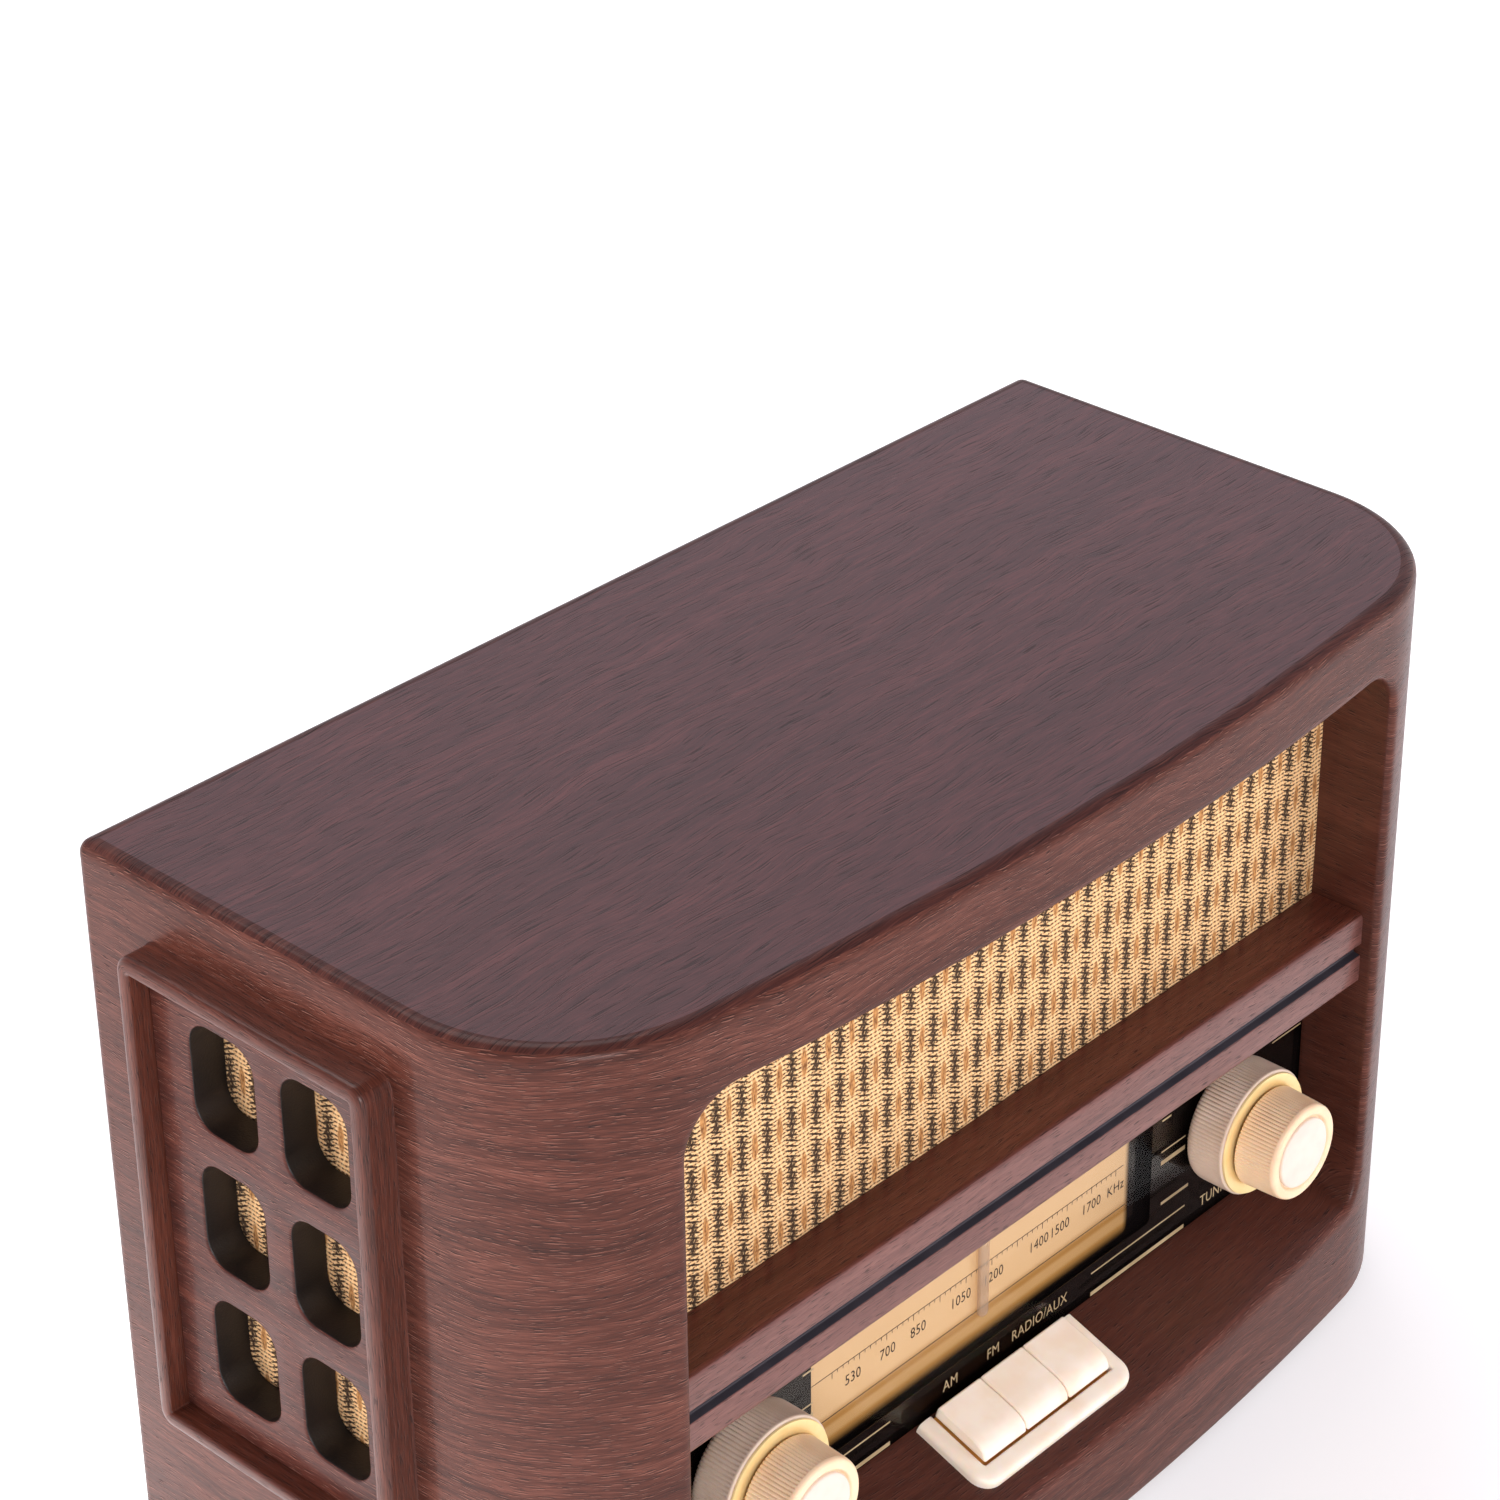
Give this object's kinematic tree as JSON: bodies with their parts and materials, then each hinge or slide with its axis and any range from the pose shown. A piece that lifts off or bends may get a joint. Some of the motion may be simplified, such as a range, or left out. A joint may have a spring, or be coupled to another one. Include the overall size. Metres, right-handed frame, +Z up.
{
  "type": "table radio",
  "caption": "Retro wooden table radio with bowed front, woven grille, lit slide-rule dial, double concentric knobs and piano keys.",
  "frame": {"origin": "on the table, at the bottom centre of the bounding box", "axes": "+X to the right seen from the front, front faces -Y, +Z up"},
  "size_m": [0.316, 0.147, 0.2],
  "materials": {
    "walnut": "dark walnut stain under satin lacquer",
    "walnut_black": "dark walnut stain, window walls painted matt black",
    "hardboard": "dark fibreboard",
    "cloth": "woven gold and brown grille cloth",
    "glass": "clear acrylic with a black printed border",
    "scale": "cream translucent printed plate",
    "clear_plastic": "clear acrylic",
    "ivory": "ivory moulding, satin",
    "ivory_grey": "greyer ivory moulding, fine ridges",
    "pearl": "pearl white inset",
    "gold": "bright gold plated",
    "steel": "pressed steel",
    "black_plastic": "black moulded plastic",
    "board": "green circuit board",
    "copper": "copper and brass",
    "rubber": "black rubber"
  },
  "bodies": {
    "radio": {"cabinet_wrap": "walnut", "top_board": "walnut", "mid_rail": "walnut", "side_moulding_left": "walnut", "side_moulding_right": "walnut", "side_grille_left": "walnut_black", "side_grille_right": "walnut_black", "bottom_board": "hardboard", "speaker_baffle": "hardboard", "back_panel": "hardboard", "side_cloth_left": "cloth", "side_cloth_right": "cloth", "grille_cloth_front": "cloth", "dial_glass": "glass", "dial_scale_plate": "scale", "dial_light_guide": "clear_plastic", "dial_lamp_board": "board", "main_board": "board", "key_switch_board": "board", "key_bezel": "ivory", "pointer_guide_rod": "steel", "dial_chassis": "steel", "volume_tone_control": "steel", "tuning_balance_control": "steel", "tuning_gang_frame": "steel", "transformer_core": "steel", "aerial_socket": "steel", "speaker_magnet_left": "steel", "speaker_magnet_right": "steel", "speaker_basket_left": "black_plastic", "speaker_basket_right": "black_plastic", "speaker_cone_left": "black_plastic", "speaker_cone_right": "black_plastic", "ferrite_rod": "black_plastic", "ferrite_holder": "black_plastic", "power_inlet": "black_plastic", "aux_jack": "black_plastic", "transformer_coil": "copper", "foot_front_left": "rubber", "foot_front_right": "rubber", "foot_back_left": "rubber", "foot_back_right": "rubber"},
    "volume_dial": {"volume_knob": "ivory", "volume_knob_cap": "pearl", "volume_knob_shaft": "steel"},
    "tone_dial": {"tone_ring": "ivory_grey", "tone_ring_flange": "gold", "tone_ring_shaft": "steel"},
    "tuning_dial": {"tuning_knob": "ivory", "tuning_knob_cap": "pearl", "tuning_knob_shaft": "steel"},
    "balance_dial": {"balance_ring": "ivory_grey", "balance_ring_flange": "gold", "balance_ring_shaft": "steel"},
    "pointer": {"tuning_pointer": "clear_plastic", "pointer_carriage": "black_plastic"},
    "gang_rotor": {"tuning_gang_rotor": "copper"},
    "am_key": {"band_key_am": "ivory"},
    "fm_key": {"band_key_fm": "ivory"},
    "source": {"source_key": "ivory"}
  },
  "joints": [
    {"name": "volume_turn", "type": "hinge", "parent": "radio", "child": "volume_dial", "pos_m": [-0.0845, -0.06, 0.0657], "axis": [0, -1, 0], "range_deg": [-150, 150]},
    {"name": "tone_turn", "type": "hinge", "parent": "radio", "child": "tone_dial", "pos_m": [-0.0845, -0.06, 0.0657], "axis": [0, -1, 0], "range_deg": [-150, 150]},
    {"name": "tuning_turn", "type": "hinge", "parent": "radio", "child": "tuning_dial", "pos_m": [0.0845, -0.06, 0.0657], "axis": [0, -1, 0], "range_deg": [-150, 150]},
    {"name": "balance_turn", "type": "hinge", "parent": "radio", "child": "balance_dial", "pos_m": [0.0845, -0.06, 0.0657], "axis": [0, -1, 0], "range_deg": [-150, 150]},
    {"name": "pointer_slide", "type": "slide", "parent": "radio", "child": "pointer", "axis": [1, 0, 0], "range_m": [-0.0475, 0.0475]},
    {"name": "gang_turn", "type": "hinge", "parent": "radio", "child": "gang_rotor", "pos_m": [0.06, -0.004, 0.04], "axis": [0, -1, 0], "range_deg": [-92, 92]},
    {"name": "am_press", "type": "slide", "parent": "radio", "child": "am_key", "axis": [0, 0.3219, -0.9468], "range_m": [0, 0.002], "stiffness_N_per_m": 400},
    {"name": "fm_press", "type": "slide", "parent": "radio", "child": "fm_key", "axis": [0, 0.3219, -0.9468], "range_m": [0, 0.002], "stiffness_N_per_m": 400},
    {"name": "source_press", "type": "slide", "parent": "radio", "child": "source", "axis": [0, 0.3219, -0.9468], "range_m": [0, 0.002], "stiffness_N_per_m": 400}
  ],
  "couplings": [
    {"joint": "pointer_slide", "follows": "tuning_turn", "m_per_rad": -0.018},
    {"joint": "gang_turn", "follows": "tuning_turn", "ratio": 0.6}
  ]
}
